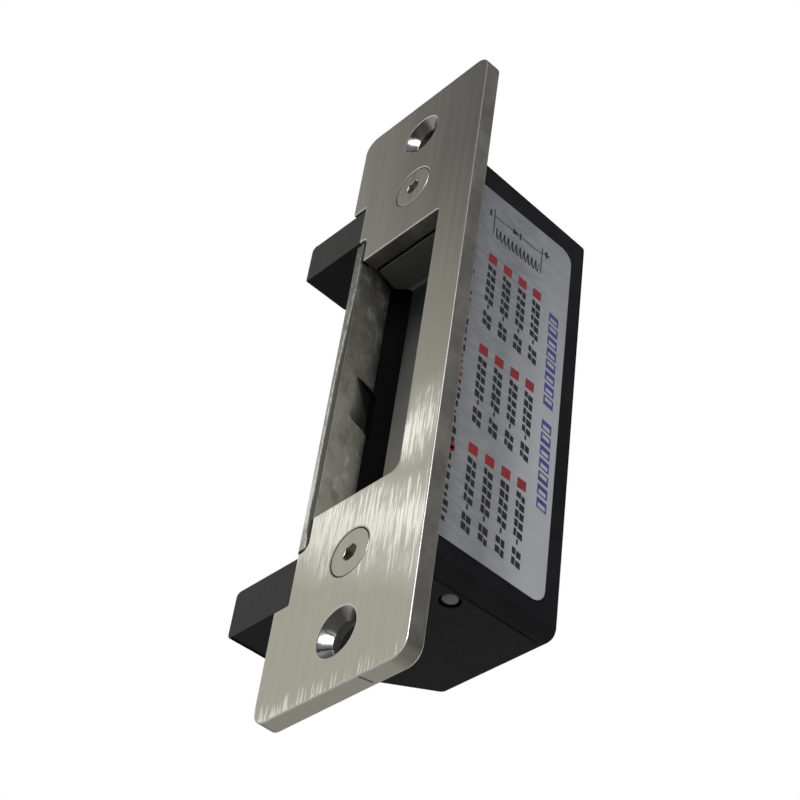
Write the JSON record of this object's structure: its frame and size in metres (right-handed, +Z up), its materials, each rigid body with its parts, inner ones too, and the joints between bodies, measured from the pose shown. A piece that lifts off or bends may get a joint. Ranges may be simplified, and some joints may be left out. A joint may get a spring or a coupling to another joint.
{
  "type": "electric door strike",
  "caption": "Electric door strike: slim steel faceplate with a latch aperture, a keeper hinged between side ears, and a cast casing behind it that holds a solenoid lock.",
  "frame": {"origin": "centre of the faceplate's front face", "axes": "+X towards the label side, +Y into the jamb, +Z up along the faceplate"},
  "size_m": [0.0423, 0.032, 0.124],
  "materials": {
    "faceplate_steel": "brushed along its length, worn bright in streaks",
    "screw_steel": "bright machined",
    "case_black": "die casting with black coating, satin",
    "keeper_steel": "investment casting, front strip ground bright",
    "zinc_steel": "zinc plated",
    "spring_steel": "drawn wire",
    "label_film": "grey printed film",
    "grommet_rubber": "matte",
    "bobbin_nylon": "natural nylon",
    "winding_tape": "enamelled winding wrapped in film",
    "board_laminate": "green solder mask",
    "black_plastic": "moulded",
    "red_insulation": "wire insulation",
    "black_insulation": "wire insulation"
  },
  "bodies": {
    "casing_body": {"faceplate": "faceplate_steel", "case_screw_upper": "screw_steel", "case_screw_lower": "screw_steel", "casing": "case_black", "label": "label_film", "rear_cover": "case_black", "cable_grommet": "grommet_rubber", "keeper_pin": "zinc_steel", "keeper_spring": "spring_steel", "lock_pin": "zinc_steel", "lever_spring": "spring_steel", "solenoid_frame": "zinc_steel", "coil_screw_1": "screw_steel", "coil_screw_2": "screw_steel", "bobbin": "bobbin_nylon", "coil_winding": "winding_tape", "solenoid_core": "zinc_steel", "plunger_spring": "spring_steel", "circuit_board": "board_laminate", "board_screw": "zinc_steel", "diode": "black_plastic", "terminal_block": "black_plastic", "terminal_screw_1": "zinc_steel", "terminal_screw_2": "zinc_steel", "coil_lead_plus": "red_insulation", "coil_lead_minus": "black_insulation", "cover_screw_1": "zinc_steel", "cover_screw_2": "zinc_steel", "cover_screw_3": "zinc_steel", "cover_screw_4": "zinc_steel"},
    "keeper_body": {"keeper": "keeper_steel"},
    "plunger_body": {"plunger": "zinc_steel", "lock_cam": "zinc_steel", "cam_pin": "spring_steel", "spring_collar": "bobbin_nylon"},
    "lever_body": {"lock_lever": "zinc_steel"}
  },
  "joints": [
    {"name": "keeper_hinge", "type": "hinge", "parent": "casing_body", "child": "keeper_body", "pos_m": [-0.0122, 0.0136, 0], "axis": [0, 0, -1], "range_deg": [0, 85], "stiffness_Nm_per_rad": 0.02, "springref_deg": -28.65, "deforming": ["keeper_spring"]},
    {"name": "plunger_slide", "type": "slide", "parent": "casing_body", "child": "plunger_body", "axis": [0, 0, 1], "range_m": [0, 0.004], "stiffness_N_per_m": 250, "springref_m": -0.002, "deforming": ["plunger_spring"]},
    {"name": "lever_hinge", "type": "hinge", "parent": "casing_body", "child": "lever_body", "pos_m": [0.0063, 0.0142, 0], "axis": [0, 0, 1], "range_deg": [0, 11.6], "stiffness_Nm_per_rad": 0.004, "springref_deg": -17.19, "deforming": ["lever_spring"]}
  ],
  "couplings": [
    {"joint": "lever_hinge", "follows": "plunger_slide", "rad_per_m": 50}
  ]
}
